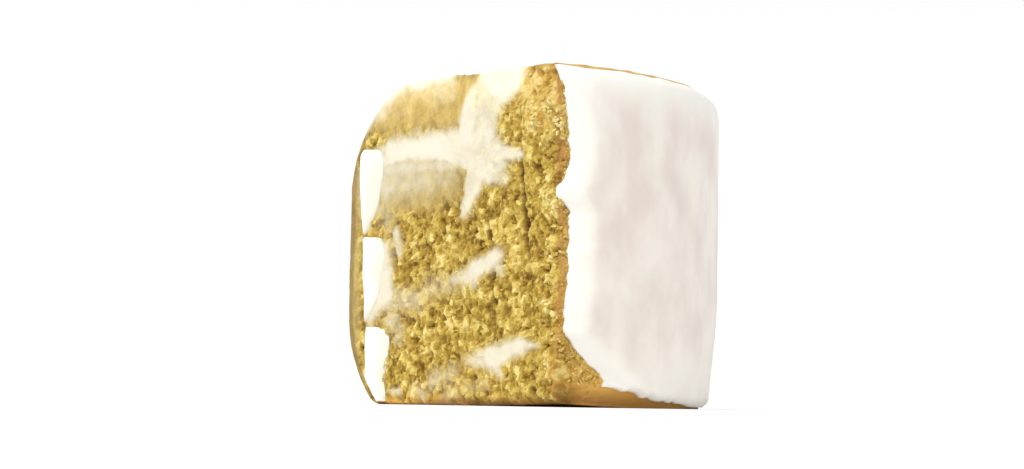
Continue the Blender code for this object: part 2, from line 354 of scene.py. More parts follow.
def stroke_mask(points, strokes):
    """How far points, in ring coordinates, are inside the strokes: from 0 to 1, with soft, uneven edges."""
    uneven = bumps(points, 0.5 * MM, 2.6 * MM, 31) + waves(points, 0.15 * MM, 0.6 * MM, 35)
    mask = np.zeros(len(points))
    for start, end, radii, softness, strengths in strokes:
        start = np.array(start, dtype=float) * MM
        way = np.array(end, dtype=float) * MM - start
        t = np.clip((points - start) @ way / (way @ way), 0.0, 1.0)
        distance = np.linalg.norm(points - start - t[:, None] * way, axis=1)
        inside = ease_step(softness * MM, -softness * MM, distance - mix(*radii, t) * MM + uneven)
        mask = np.maximum(mask, mix(*strengths, t) * inside)
    patches = rough_noise(points, 1.3 * MM, 37)
    return np.clip(mask + 0.9 * mask * (1.0 - mask) * patches, 0.0, 1.0)


# ---- Sponge ----

CUT_RELIEF_REACH = 5 * MM
FOOT_ROUNDS = (2.4 * MM, 0.9 * MM)  # at the outer side and further in
FOOT_ROUNDS_REACH = 22.0 * MM

# Blocks of torn crumb, from coarse to fine: their size, how far they stand out, how much they tilt, their
# share of the tone, and a seed
BLOCKS = (
    (2.1 * MM, 0.28 * MM, 0.06, 0.2, 53),
    (0.95 * MM, 0.3 * MM, 0.12, 0.55, 55),
    (0.55 * MM, 0.2 * MM, 0.16, 0.25, 57),
)
BLOCK_SQUARENESS = 7.0
BLOCK_BEND = 0.2 * MM
BLOCK_LEAN_TURNS = 40.0
PALE_BLOCKS = (0.45, 1.0)
UPRIGHT = 0.78
PORE = 2.4 * MM
PORE_WALL = (0.05, 0.34)
PORE_DEPTH = 0.5 * MM
PORE_SHARE = 0.5

# Relief that counts as full height, and how much deeper counts as none, for painted shade in hollows
HIGH_CRUMB = 0.5 * MM
DEEPEST = 1.5 * MM

# Heaps of crumb on the first cut: depth, height, reach along both in millimetres, and how many loose crumbs
HEAPS = (
    (2.2, 36.8, 0.9, 1.0, 12),
    (3.6, 35.0, 1.5, 0.8, 20),
    (6.8, 36.8, 1.0, 1.7, 14),
    (3.4, 39.0, 1.1, 1.3, 10),
    (3.8, 28.0, 1.4, 1.4, 16),
    (2.6, 25.8, 0.8, 1.5, 10),
    (3.0, 20.6, 1.0, 1.7, 14),
    (2.8, 16.6, 1.1, 0.9, 10),
    (3.6, 12.8, 1.7, 1.1, 12),
    (3.0, 4.5, 1.8, 1.7, 14),
)
HEAP_RISE = 0.45 * MM
HEAP_PALENESS = 0.3

# Fine lines between the baked layers
FIRST_LAYER = 7.9 * MM
LAYER_PITCH = 7.0 * MM
LAYER_LEAN = 0.1
LAYER_LEAN_FROM = 22.0 * MM
LAYER_GROOVE = 0.6 * MM
TOP_GROOVE = 0.12 * MM
TOP_EDGE_RELIEF = 0.25 * MM

# What glaze and the knife leave of the relief
PRESSED_SMOOTH = 0.9
GLAZED_RELIEF = 0.35
GLAZE_RISE = 0.3 * MM
GLAZE_SUNK = 0.15 * MM
GLAZE_FILLS = (0.15, 0.85)
CRISP_BELOW = 0.3  # torn crumb has flat faces where the glaze and the knife have covered less than this

# The edge by the hole and the shoulder
HOLE_EDGE = 2.6 * MM
HOLE_EDGE_CALM = 0.6 * MM
HOLE_EDGE_FALL = 0.6 * MM

# The rasped outer side near the cuts
RASP = 1.0 * MM
RASP_STAND = 0.5 * MM
RASP_GROOVE = 0.15 * MM
RASP_REACH = (16 * MM, 9 * MM)

# Browned skin at the border of the cuts, and on the bare outer side near them
SKIN_WIDTHS = (0.3 * MM, 0.9 * MM)
SKIN_WIDTH_HEIGHTS = (25 * MM, 32 * MM)
SKIN_EDGE = 0.4 * MM
FOOT_EDGE = (1.5 * MM, 0.1 * MM)
BARE_SKIN = (0.85, 0.3)
BARE_SKIN_HEIGHTS = (14 * MM, 8 * MM)
BARE_SKIN_REACH = (1 * MM, 7 * MM)

# The palest crumb, with the painted light at the top of the outer side
PALEST_TONE = 1.3


def cut_wave(where):
    """Slow waves over a whole cut."""
    return waves(where * np.array((1.0, 0.0, 1.0)), 0.35 * MM, 14 * MM, 61)


def torn_crumb(flat):
    """Relief and tones of torn crumb at flat places: tilted blocks, finer ones on them, pores and heaps."""
    bend = np.stack([smooth_noise(flat, 1.0 * MM, 51 + k) for k in (0, 1)], axis=1)
    bent = flat + BLOCK_BEND * bend
    relief = np.zeros(len(flat))
    tone = np.zeros(len(flat))
    for size, stand, tilt, share, seed in BLOCKS:
        way, _, _, number = cell_noise(bent * np.array((1.0, UPRIGHT)), size, seed, BLOCK_SQUARENESS)
        lean = BLOCK_LEAN_TURNS * math.tau * number
        relief += stand * (number - 0.5) + tilt * size * (way[:, 0] * np.cos(lean) + way[:, 1] * np.sin(lean))
        tone += share * ease_step(*PALE_BLOCKS, number)
    _, centre, _, number = cell_noise(bent, PORE, 59)
    relief -= PORE_DEPTH * (1.0 - ease_step(*PORE_WALL, centre)) * (number < PORE_SHARE)
    for heap_depth, heap_height, across, upwards, _ in HEAPS:
        aside = np.hypot((flat[:, 0] / MM - heap_depth) / across, (flat[:, 1] / MM - heap_height) / upwards)
        heap = ease_step(1.5, 0.5, aside + waves(flat, 0.4, 0.9 * MM, 67))
        relief += HEAP_RISE * heap
        tone += HEAP_PALENESS * heap
    return relief, tone


def layer_line(depth, height):
    """1 on the fine lines between the baked layers and 0 away from them."""
    place = np.stack((height, depth), axis=1)
    sway = waves(place, 0.35 * MM, 9 * MM, 21) + waves(place, 0.15 * MM, 1.5 * MM, 22)
    turns = (depth + sway - LAYER_LEAN * (height - LAYER_LEAN_FROM) - FIRST_LAYER) / LAYER_PITCH
    order = np.round(turns)
    distance = np.abs(turns - order) * LAYER_PITCH
    strength = np.select((order < 0, order == 0, order == 1), (0.0, 1.0, 0.6), 0.25)
    clearest = np.where(order == 0, 26.5 * MM, 17.0 * MM)
    reach = 1.0 - 0.85 * ease_step(5.5 * MM, 9.0 * MM, np.abs(height - clearest))
    broken = ease_step(-0.9, 0.0, smooth_noise(place, 3 * MM, 23))
    return strength * reach * broken * ease_step(0.45 * MM, 0.1 * MM, distance)


def top_corner(depth, height):
    """Painted light: how much paler the crumb is towards the top of the outer side."""
    return 0.8 * ease_step(31 * MM, 41 * MM, height) * ease_step(14 * MM, 6 * MM, depth)


def foot_fall(depth, height):
    """How far the rounded foot of a cut falls back."""
    foot_round = mix(*FOOT_ROUNDS, np.clip(depth / FOOT_ROUNDS_REACH, 0.0, 1.0))
    return corner_fall(foot_round - height, foot_round, foot_round)


def browning(where, depth, height, from_cut, on_cut, on_outer):
    """How far the crumb gives way to browned skin, and how near it is to the cuts' outer border."""
    skin_width = mix(*SKIN_WIDTHS, ease_step(*SKIN_WIDTH_HEIGHTS, height))
    from_skin = depth - sponge_side(height) - skin_width + bumps(where, 0.8 * MM, 1.6 * MM, 81)
    skin_edge = ease_step(SKIN_EDGE, -SKIN_EDGE, from_skin)
    foot_edge = ease_step(*FOOT_EDGE, height + waves(where, 0.6 * MM, 1.5 * MM, 83))
    by_cut = mix(*BARE_SKIN, ease_step(*BARE_SKIN_HEIGHTS, height))
    bare = mix(by_cut, 1.0, ease_step(*BARE_SKIN_REACH, from_cut + bumps(where, 1.5 * MM, 1.5 * MM, 85)))
    skin = np.where(
        on_cut,
        np.maximum(0.9 * skin_edge, 0.6 * foot_edge),
        np.where(on_outer, bare, 1.0),
    )
    skin = np.where(on_cut, np.maximum(skin, 0.5 * top_corner(depth, height)), skin)
    return skin, skin_edge


def sponge_piece(finish):
    places, faces = grid_block(SPONGE_CELLS)
    u, v, w = (places / np.array(SPONGE_CELLS)).T
    u = u - CELL_CROWDING * np.sin(math.tau * u) / math.tau
    depth, height = section(v, w)
    along = ARC * u
    from_cut = np.minimum(along, ARC - along)
    where = np.stack((depth, along, height), axis=1)
    on_cut = (places[:, 0] == 0) | (places[:, 0] == SPONGE_CELLS[0])
    on_top = w == 1.0
    on_base = w == 0.0
    on_hole = v == 1.0
    on_outer = v == 0.0

    # Torn crumb on the cuts, pressed smooth, filled with glaze and calmer by the hole's edge
    glaze = stroke_mask(where, STROKES)
    pressed = np.where(on_cut, stroke_mask(where, PRESSED), 0.0)
    flat = np.stack((depth, height + np.where(u < 0.5, 0.0, SECOND_CUT_SHIFT)), axis=1)
    relief, tone = torn_crumb(flat)
    line = layer_line(depth, height)
    crumb = (1.0 - PRESSED_SMOOTH * pressed) * relief - LAYER_GROOVE * line * (1.0 - pressed)
    filled = np.maximum(GLAZED_RELIEF * crumb, GLAZE_RISE * glaze - GLAZE_SUNK)
    crumb = mix(crumb, filled, ease_step(*GLAZE_FILLS, glaze))
    to_hole = np.minimum(WALL - hole_inset(height) - depth, top_height(depth) - height + RIM_INSET)
    near_hole = np.clip(1.0 - np.maximum(0.0, to_hole) / HOLE_EDGE, 0.0, 1.0)
    fade = np.clip((depth - WALL + 2 * SHOULDER) / SHOULDER, 0.0, 1.0)
    crumb = crumb * ease_step(HOLE_EDGE_CALM, HOLE_EDGE, np.where(depth > SHOULDER, to_hole, 9 * MM))
    set_back = HOLE_EDGE_FALL * fade * near_hole ** 2 + foot_fall(depth, height)
    proud = crumb + cut_wave(where) - set_back
    off_cut = proud * ease_step(CUT_RELIEF_REACH, 0.0, from_cut) * np.where(u < 0.5, 1.0, -1.0)

    # The crust's unevenness on the top, and the lifted corner of the base
    crust = waves(where, 0.3 * MM, 17 * MM, 71) + bumps(where, 0.12 * MM, 2.5 * MM, 73)
    height = height + w ** 3 * (crust + RIM_RISE * (1.0 - v) * np.sin(math.pi * u))
    height = lifted(height, w, depth, along)
    height = height - np.where(on_top, TOP_GROOVE * line + TOP_EDGE_RELIEF * (tone - 0.5) * on_cut, 0.0)

    # The skin's relief on the outer side and the hole's side
    _, _, gap, number = cell_noise(where, RASP, 77, BLOCK_SQUARENESS)
    rasped = RASP_STAND * (number - 0.5) - RASP_GROOVE * (1.0 - ease_step(0.0, 0.3, gap))
    near_cut = ease_step(*RASP_REACH, from_cut)
    skin_relief = np.where(on_outer, near_cut * rasped, 0.0) + bumps(where, 0.1 * MM, 1.4 * MM, 79)
    depth = depth + np.where(on_outer | on_hole, skin_relief, 0.0)
    height = np.where(on_base, height - height.min(where=on_base, initial=0.0), height)

    # Browned skin, dark lines, and painted shade at the foot and along the hole's edge
    skin, skin_edge = browning(where, depth, height, from_cut, on_cut, on_outer)
    # Painted shade: the cut is darkened along the hole's edge
    hole_edge_shade = 0.5 * ease_step(2.2 * MM, 1.2 * MM, to_hole) * on_cut
    foot_shade = ease_step(np.where(on_outer, 3.6 * MM, 1.5 * MM), 0.4 * MM, height)
    foot_shade = foot_shade * ease_step(34 * MM, 22 * MM, depth) * ~on_base
    points = ring_points(depth, along, height, off_cut)
    covered = np.maximum(glaze, pressed)[faces].mean(axis=1)
    smooth = ~on_cut[faces].all(axis=1) | (covered > CRISP_BELOW)
    attributes = {
        "place": where,
        # tone carries the painted light towards the top of the outer side
        "tone": np.clip(tone + top_corner(depth, height), 0.0, PALEST_TONE),
        # lift is the relief height, which paints light on raised crumb and shade in its hollows
        "lift": np.clip(1.0 + (crumb - HIGH_CRUMB) / DEEPEST, 0.0, 1.0),
        "skin": skin,
        "glaze": glaze,
        # line holds the layer lines and the skin's border, with painted shade at the foot and along the hole's
        # edge
        "line": np.maximum.reduce((line, hole_edge_shade, foot_shade, 0.6 * skin_edge * on_cut)),
        "pressed": pressed,
        "under": on_base.astype(float),
    }
    return mesh_object("crumb", points, faces.tolist(), finish, attributes, smooth)


# ---- Loose and half-torn crumbs on the cuts ----

CRUMBS_PER_CUT = 620
CRUMB_SIZES = (0.14 * MM, 0.48 * MM)
CRUMB_STRETCH = (0.4, 1.35)
CRUMB_JAGS = (0.5, 1.4)
CRUMB_STANDING = 0.35  # how much of its radius a crumb stands off the cut
DRIP_CLEARANCE = (0.3 * MM, 0.6 * MM)  # above a drip and beside it
RIM_CRUMBS = 30
HEAP_SPREAD = 0.6
CORNER_CRUMBS = 360
BORDER_CRUMBS = 230
CLUMP = (0.5, 36.4)  # way along and height, in millimetres, of a clump over the icing's border
CLUMP_CRUMBS = 60


def ball_points():
    """Corner directions and three-sided faces of a ball with twenty faces."""
    golden = (1.0 + math.sqrt(5.0)) / 2.0
    corners = []
    for a in (-1.0, 1.0):
        for b in (-golden, golden):
            corners += [(0.0, a, b), (a, b, 0.0), (b, 0.0, a)]
    corners = np.array(corners) / math.hypot(1.0, golden)
    faces = []
    for i, j, k in itertools.combinations(range(12), 3):
        sides = [np.linalg.norm(corners[p] - corners[q]) for p, q in ((i, j), (j, k), (k, i))]
        if max(sides) < 1.1:  # all three corners are neighbours
            normal = np.cross(corners[j] - corners[i], corners[k] - corners[i])
            faces.append((i, j, k) if normal @ corners[i] > 0 else (i, k, j))
    return corners, np.array(faces)


def scatter_crumbs(name, where, centres, radii, tones, skins, finish, random):
    """One piece with a jagged crumb at each centre: a ball of twenty triangles, pulled about."""
    count = len(centres)
    corners, triangles = ball_points()
    turns, _ = np.linalg.qr(random.normal(size=(count, 3, 3)))
    turns[:, :, 0] *= np.sign(np.linalg.det(turns))[:, None]
    stretch = random.uniform(*CRUMB_STRETCH, (count, 1, 3))
    crumbs = corners * stretch * random.uniform(*CRUMB_JAGS, (count, len(corners), 1))
    crumbs = np.einsum("nij,nkj->nki", turns, crumbs) * radii[:, None, None] + centres[:, None, :]
    faces = (triangles[None] + len(corners) * np.arange(count)[:, None, None]).reshape(-1, 3)
    attributes = {
        "place": np.repeat(where, len(corners), axis=0) + 0.3 * radii.mean() * np.tile(corners, (count, 1)),
        "tone": np.repeat(tones, len(corners)),
        # lift here is the painted light level of a loose crumb, taken from its tone
        "lift": np.repeat(0.45 + 0.4 * tones, len(corners)),
        "skin": np.repeat(skins, len(corners)),
    }
    return mesh_object(name, crumbs.reshape(-1, 3), faces.tolist(), finish, attributes, smooth=False)


def in_drip(depth, height):
    """Whether places on the first cut are under a drip or too near one."""
    above, beside = DRIP_CLEARANCE
    inside = np.zeros(len(depth), dtype=bool)
    for top in DRIP_TOPS:
        down = np.clip((top + above - height) / DRIP_LENGTH, 0.0, 1.0)
        far_edge = drip_edge(height) - DRIP_WIDTH * (1.0 - down) ** DRIP_TAPER - beside
        inside |= (down > 0.0) & (down < 1.0) & (depth > far_edge)
    return inside


def heap_crumbs(random):
    """Depths, heights, shares of the whole height, radii and paleness of the loose crumbs on the heaps."""
    heaps = []
    for heap_depth, heap_height, across, upwards, count in HEAPS:
        depth = (heap_depth + across * HEAP_SPREAD * random.normal(size=count)) * MM
        height = (heap_height + upwards * HEAP_SPREAD * random.normal(size=count)) * MM
        nearest = sponge_side(height) + 0.3 * MM
        share = np.full(count, heap_height * MM / HEIGHT)
        radii = random.uniform(0.15, 0.4, count) * MM
        lit = random.uniform(0.3, 0.75, count)
        heaps.append((np.maximum(depth, nearest), height, share, radii, lit))
    return [np.concatenate(values) for values in zip(*heaps)]


def cut_crumbs(name, along, seed, finish):
    """Crumbs on the cut at one end of the arc, where neither glaze nor the knife has covered it."""
    random = np.random.default_rng(seed)
    on_first = along == 0.0
    v = np.concatenate((random.uniform(0.005, 0.955, CRUMBS_PER_CUT), random.uniform(0.0, 0.02, RIM_CRUMBS)))
    w = random.uniform(0.015, 0.985, len(v))
    depth, height = section(v, w)
    where = np.stack((depth, np.full(len(depth), along), height), axis=1)
    covered = np.maximum(1.2 * stroke_mask(where, STROKES), stroke_mask(where, PRESSED))
    for aside in (-0.4 * MM, 0.0, 0.4 * MM):
        covered = np.maximum(covered, layer_line(depth + aside, height))
    keep = (covered < random.uniform(0.0, 0.45, len(depth))) & ~(in_drip(depth, height) & on_first)
    from_skin = random.uniform(0.5, 2.0, len(depth)) * MM
    keep &= depth > sponge_side(height) + from_skin
    keep &= WALL - hole_inset(height) - depth > HOLE_EDGE
    depth, height, w = depth[keep], height[keep], w[keep]
    smallest, largest = CRUMB_SIZES
    radii = smallest + (largest - smallest) * random.uniform(0.0, 1.0, len(depth)) ** 1.8
    by_skin = ease_step(2.0 * MM, 0.0, depth - outer_inset(height) - ICING)
    skins = random.uniform(0.0, 1.0, len(depth)) * by_skin
    lit = random.uniform(0.0, 0.6, len(depth))
    if on_first:
        heap_depth, heap_height, heap_share, heap_radii, heap_lit = heap_crumbs(random)
        depth = np.append(depth, heap_depth)
        height = np.append(height, heap_height)
        w = np.append(w, heap_share)
        radii = np.append(radii, heap_radii)
        skins = np.append(skins, np.zeros(len(heap_depth)))
        lit = np.append(lit, heap_lit)
    where = np.stack((depth, np.full(len(depth), along), height), axis=1)
    flat = np.stack((depth, height + (0.0 if on_first else SECOND_CUT_SHIFT)), axis=1)
    relief, tone = torn_crumb(flat)
    off_cut = relief + cut_wave(where) + CRUMB_STANDING * radii - foot_fall(depth, height)
    height = np.maximum(lifted(height, w, depth, along), 1.4 * radii)
    centres = ring_points(depth, along, height, off_cut if on_first else -off_cut)
    # top_corner adds painted light to the loose crumbs near the top of the outer side
    tones = np.clip(0.6 * tone + lit + top_corner(depth, height), 0.0, 1.0)
    return scatter_crumbs(name, where, centres, radii, tones, skins, finish, random)


def border_crumbs(finish):
    """Crumbs on the bare skin between the first cut and the icing, most of them along the icing's border."""
    random = np.random.default_rng(403)
    corner_heights = BARE_CORNER_HEIGHTS[0] * random.uniform(0.3, 1.0, CORNER_CRUMBS)
    border_heights = random.uniform(1.0 * MM, ICING_TOP - 1.0 * MM, BORDER_CRUMBS)
    height = np.concatenate((corner_heights, border_heights))
    border = first_border(height)
    along = border * random.uniform(0.0, 1.05, len(height)) ** 0.4
    on_border = random.uniform(size=len(height)) < 0.25
    along = np.where(on_border, border + 0.3 * MM * random.normal(size=len(height)), along)
    clump = 0.7 * random.normal(size=(CLUMP_CRUMBS, 2)) + np.array(CLUMP)
    along = np.append(along, np.maximum(0.0, clump[:, 0]) * MM)
    height = np.append(height, clump[:, 1] * MM)
    radii = random.uniform(0.15, 0.45, len(height)) * MM
    depth = sponge_side(height) - 0.1 * radii
    along = np.maximum(along, 1.2 * foot_fall(depth, height))
    height = np.maximum(lifted(height, height / HEIGHT, depth, along), 1.9 * radii)
    tones = random.uniform(0.3, 1.0, len(height))
    border_skins = random.uniform(0.2, 0.9, len(height) - CLUMP_CRUMBS)
    skins = np.append(border_skins, random.uniform(0.0, 0.5, CLUMP_CRUMBS))
    where = np.stack((depth, along, height), axis=1)
    centres = ring_points(depth, along, height)
    return scatter_crumbs("border_crumbs", where, centres, radii, tones, skins, finish, random)


# ---- Icing on the outer side ----

ICING_EDGE = 0.3 * MM
ICING_TAPER = 4.2 * MM
ICING_LIP = 1.2 * MM
ICING_CREST = 0.35 * MM
ICING_SET_BACK = 0.9 * MM
ICING_OVERLAP = -0.8 * MM
ICING_SUNK = 0.1 * MM

# The bare corner at the foot of the first cut, and the icing's foot beside it
BARE_CORNER = 8.2 * MM
BARE_CORNER_HEIGHTS = (9.2 * MM, 2.0 * MM)
ICING_LOWEST = 0.25 * MM
CORNER_FOOT = 1.9 * MM
CORNER_FOOT_REACH = (32 * MM, 8 * MM)
SCALLOP = 0.9 * MM
SCALLOP_REACH = (42 * MM, 22 * MM)

# Tongues and bays of the border at the first cut: height, half width and how far it moves back, in mm
BORDER_BENDS = (
    (43.5, 2.0, -1.6),
    (39.5, 1.6, -0.5),
    (32.0, 1.8, 0.5),
    (27.2, 1.5, -1.9),
    (22.5, 1.6, 0.2),
    (11.0, 3.5, -0.3),
)


def icing_border(height, seed, bends=()):
    """Distance along the outer side from a cut to the icing's ragged border."""
    place = np.stack((height, np.full(len(height), 10.0 * seed)), axis=1)
    wave = waves(place, 0.35 * MM, 4 * MM, seed) + bumps(place, 0.5 * MM, 1.3 * MM, seed + 1)
    if not bends:
        wave += waves(place, 0.8 * MM, 5.5 * MM, seed + 2)
    for middle, half_width, back in bends:
        wave += back * MM * np.exp(-((height / MM - middle) / half_width) ** 2)
    return np.maximum(ICING_SET_BACK + wave, ICING_OVERLAP)


def first_border(height):
    """The same for the first cut, with the bare corner at its foot."""
    low = ease_step(*BARE_CORNER_HEIGHTS, height)
    ragged = bumps(np.stack((height, np.zeros(len(height))), axis=1), 0.9 * MM, 1.1 * MM, 145)
    return icing_border(height, 141, BORDER_BENDS) + (BARE_CORNER + ragged) * low


def icing_foot(along, place):
    """Height of the icing's lower border, which rises beside the bare corner and is scalloped there."""
    scallop = 0.5 + waves(place, 0.25, 1.7 * MM, 161) + waves(place, 0.4, 5 * MM, 162)
    foot = ICING_LOWEST + CORNER_FOOT * ease_step(*CORNER_FOOT_REACH, along)
    return foot + SCALLOP * scallop * ease_step(*SCALLOP_REACH, along)


def icing_piece(finish):
    places, faces = grid_block(ICING_CELLS)
    u, v, w = (places / np.array(ICING_CELLS)).T
    rise = w ** 1.25
    raised = mix(CORNER_FOOT, ICING_TOP, rise)
    low = ease_step(*BARE_CORNER_HEIGHTS, raised)
    first = first_border(raised)
    second = ARC - icing_border(rise * ICING_TOP, 151)
    along = mix(first, second, u)
    place = np.stack((along, np.zeros(len(along))), axis=1)
    foot = icing_foot(along, place)
    top = ICING_TOP + waves(place, 0.1 * MM, 2.4 * MM, 163)
    height = mix(foot, top, rise)
    where = np.stack((along, height), axis=1)

    # The icing thins towards its borders, and swells into a soft crest before the side ones
    to_border = np.minimum.reduce((along - first, second - along, height - foot, top - height))
    sideways = np.minimum(along - first, second - along)
    reach = ICING_TAPER * (1.0 + 1.2 * low)
    side_taper = np.clip(1.0 - sideways / reach, 0.0, 1.0) ** 1.6
    taper = np.maximum(side_taper, np.clip(1.0 - to_border / ICING_LIP, 0.0, 1.0) ** 2)
    crest = ICING_CREST * np.exp(-((sideways - reach) / (0.8 * reach)) ** 2)
    streaks = waves(where * np.array((1.0, 0.08)), 0.02 * MM, 1.2 * MM, 171)
    lumps = bumps(where, 0.05 * MM, 9 * MM, 173) + waves(where, 0.012 * MM, 1.5 * MM, 175)
    thinned = (ICING - ICING_EDGE) * taper
    surface = outer_inset(height) + thinned - (crest + lumps + streaks) * (1.0 - taper) + ICING_SUNK
    back = sponge_side(height) + 0.12 * MM
    depth = mix(surface, back, v)
    top_highlight = ease_step(7 * MM, 0.0, top - height)
    height = height + rise ** 3 * RIM_RISE * np.sin(math.pi * u)
    points = ring_points(depth, along, height)

    # Painted highlights: the icing is painted paler by its two borders, at its foot and along its top
    from_first = (along - first + waves(where, 1.5 * MM, 6 * MM, 177)) / reach
    from_second = (second - along + waves(where, 1.5 * MM, 6 * MM, 178)) / reach
    by_first = (0.8 + 0.3 * low) * ease_step(1.3, 0.35, from_first)
    by_second = 0.6 * ease_step(1.0, 0.2, from_second)
    by_foot = 0.5 * ease_step(12 * MM, 2 * MM, height + waves(where, 2 * MM, 7 * MM, 179))
    pale = np.maximum.reduce((by_first, by_second, by_foot, top_highlight))
    attributes = {"pale": np.clip(pale, 0.0, 1.0)}
    return mesh_object("outer_icing", points, faces.tolist(), finish, attributes)


# ---- Thick drips beside the hole ----

DRIP_TOPS = (35.8 * MM, 23.4 * MM, 10.8 * MM)
DRIP_LENGTH = 12.0 * MM
DRIP_WIDTH = 5.8 * MM
DRIP_THICKNESS = 1.4 * MM
DRIP_BLUNTNESS = 0.4
DRIP_TAPER = 0.6
DRIP_EDGE = WALL - 3.6 * MM
DRIP_LEAN = 0.065
DRIP_LOWEST = 0.4 * MM
DRIP_OFF_HOLE = 2.7 * MM
DRIP_SKEW = 1.5
DRIP_LUMP = 0.2
DRIP_END_CREAMS = (0.3, 0.6)
DRIP_RINGS = 40
DRIP_SIDES = 36
DRIP_TIP = 0.02


def drip_edge(height):
    """Depth of the drips' straight edge, which leans away from the hole towards the foot."""
    return DRIP_EDGE - DRIP_LEAN * (DRIP_TOPS[0] - height)


def drip_ring(number, step):
    """One level ring of a drip's points, and how creamy they are towards the far edge."""
    polar = math.pi * (step + DRIP_TIP) / (DRIP_RINGS + 2 * DRIP_TIP)
    down = 0.5 - 0.5 * math.cos(polar)
    around = np.linspace(0.0, math.tau, DRIP_SIDES, endpoint=False)
    fullness = math.sin(polar) ** DRIP_BLUNTNESS
    width = DRIP_WIDTH * fullness * (1.0 - down) ** DRIP_TAPER
    height = np.full(DRIP_SIDES, max(DRIP_LOWEST, DRIP_TOPS[number] - DRIP_LENGTH * down))
    edge = np.minimum(drip_edge(height), WALL - hole_inset(height) - DRIP_OFF_HOLE)
    across = 0.5 + 0.5 * np.cos(around)
    depth = edge - width * across
    lump = smooth_noise(np.stack((depth, height), axis=1), 3 * MM, 200 + number)
    skew = 1.0 + DRIP_SKEW * (0.5 - across)
    off_cut = DRIP_THICKNESS * fullness * np.sin(around) * skew
    off_cut = off_cut * (1.0 - 0.4 * down) * (1.0 + DRIP_LUMP * lump)
    depth = depth + 0.25 * MM * lump * (across > 0.5)
    return ring_points(depth, 0.0, height, off_cut), ease_step(0.35, 1.0, across + DRIP_LUMP * lump)


def drip_piece(finish):
    """The three drips: each narrows from a blunt top to its foot and has one straight edge by the hole."""
    points, faces, creams = [], [], []
    for number in range(len(DRIP_TOPS)):
        rings, thin = zip(*(drip_ring(number, step) for step in range(DRIP_RINGS + 1)))
        rings = np.array(rings)
        top, bottom = rings[[0, -1]].mean(axis=1, keepdims=True)
        points += [top, rings.reshape(-1, 3), bottom]
        creams += [DRIP_END_CREAMS[:1], *thin, DRIP_END_CREAMS[1:]]
        total = DRIP_SIDES * (DRIP_RINGS + 1)
        tip = number * (total + 2)
        first = tip + 1
        last = first + DRIP_RINGS * DRIP_SIDES
        for side in range(DRIP_SIDES):
            following = (side + 1) % DRIP_SIDES
            faces.append((tip, first + following, first + side))
            for start in range(first, last, DRIP_SIDES):
                end = start + DRIP_SIDES
                faces.append((start + side, start + following, end + following, end + side))
            faces.append((first + total, last + side, last + following))
    attributes = {"cream": np.concatenate(creams)}
    return mesh_object("icing_drips", np.concatenate(points), faces, finish, attributes)


# ---- Materials ----

def linear(*levels):
    """A colour from its 0 to 255 levels, all above 10."""
    return (*(((level / 255 + 0.055) / 1.055) ** 2.4 for level in levels), 1.0)


def grey(level):
    return (level, level, level, 1.0)


CRUMB_COLOURS = (
    (0.34, linear(130, 99, 34)),
    (0.5, linear(174, 145, 60)),
    (0.66, linear(198, 171, 80)),
    (0.82, linear(224, 201, 112)),
    (0.98, linear(243, 228, 156)),
)
CRUMB_TINT = linear(232, 196, 110)
PRESSED_COLOURS = ((0.32, linear(154, 128, 68)), (0.68, linear(208, 183, 120)))
# Pressed crumb with painted light, used towards the top
PRESSED_PAINTED_LIGHT_COLOURS = ((0.32, linear(184, 150, 76)), (0.68, linear(230, 200, 122)))
# The dark of the layer lines, also used for painted shade at the foot and by the hole
CRUMB_LINE_AND_SHADE = linear(92, 60, 24)
SKIN_COLOURS = ((0.3, linear(190, 137, 66)), (0.5, linear(210, 164, 87)), (0.7, linear(227, 186, 110)))
SKIN_SPECK = linear(156, 98, 42)
SKIN_SPECKS = ((0.55, grey(0.0)), (0.75, grey(0.3)))
LOW_SKIN = linear(248, 188, 82)
# The dark lines on the skin, also used for painted shade at its foot
SKIN_LINE_AND_SHADE = linear(126, 80, 34)
UNDERSIDE = linear(150, 100, 52)
GLAZE_COLOURS = ((0.35, linear(212, 202, 166)), (0.85, linear(220, 214, 193)), (1.0, linear(229, 224, 206)))
# Glaze with painted light, for the shoulder and the top
GLAZE_PAINTED_LIGHT_COLOURS = ((0.2, linear(247, 226, 160)), (0.7, linear(247, 236, 198)), (1.0, linear(236, 231, 213)))
SPONGE_ROUGHNESS = ((0.0, grey(0.85)), (1.0, grey(0.4)))
# The icing's painted highlight
ICING_PAINTED_HIGHLIGHT = linear(254, 250, 240)
CREAM_ICING = linear(232, 227, 208)
ICING_ROUGHNESS = ((0.3, grey(0.38)), (0.7, grey(0.55)))


